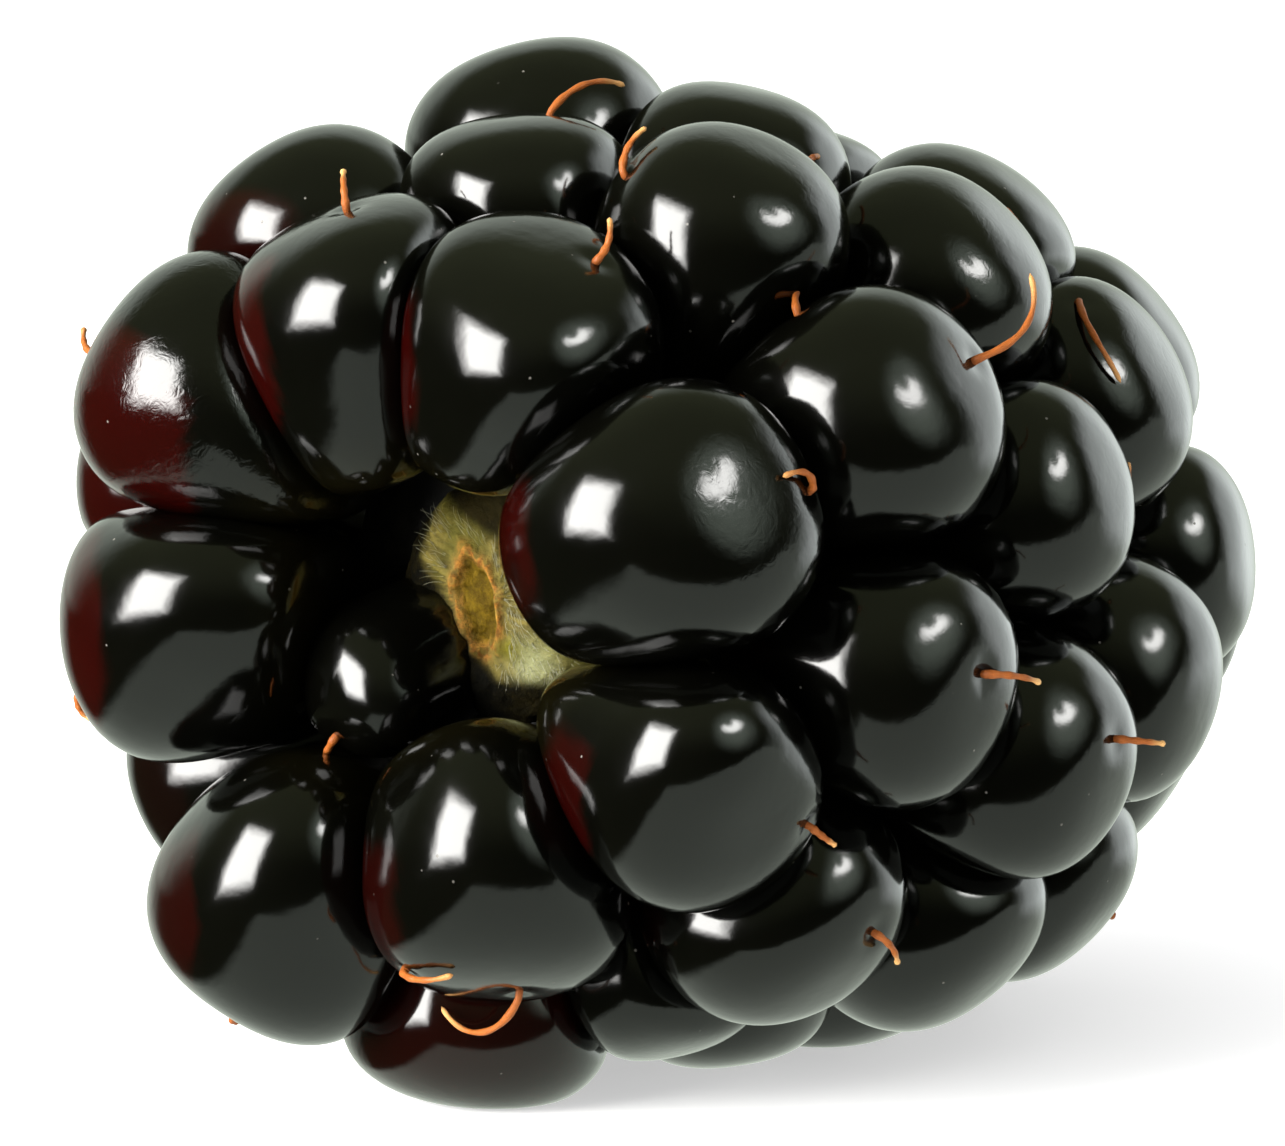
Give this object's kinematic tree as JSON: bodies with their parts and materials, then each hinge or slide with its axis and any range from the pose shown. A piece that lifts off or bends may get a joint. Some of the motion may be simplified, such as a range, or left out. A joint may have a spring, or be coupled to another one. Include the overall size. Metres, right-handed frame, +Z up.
{
  "type": "bramble berry",
  "caption": "Ripe bramble berry lying on its side: glossy near-black drupelets with withered styles, grown round a pale receptacle.",
  "frame": {"origin": "on the surface that the berry rests on, under the middle of its bounding box", "axes": "+Z up, +Y along the berry's axis from the stem end to the tip, +X to the right seen from the stem end"},
  "size_m": [0.0208, 0.0256, 0.0191],
  "materials": {
    "skin": "taut glossy fruit skin, near black with wine-red patches",
    "pith": "matte pale green-yellow pith with a brown scar ring and fine white hairs"
  },
  "bodies": {
    "root": {"drupelets": "skin", "receptacle": "pith"}
  },
  "joints": []
}
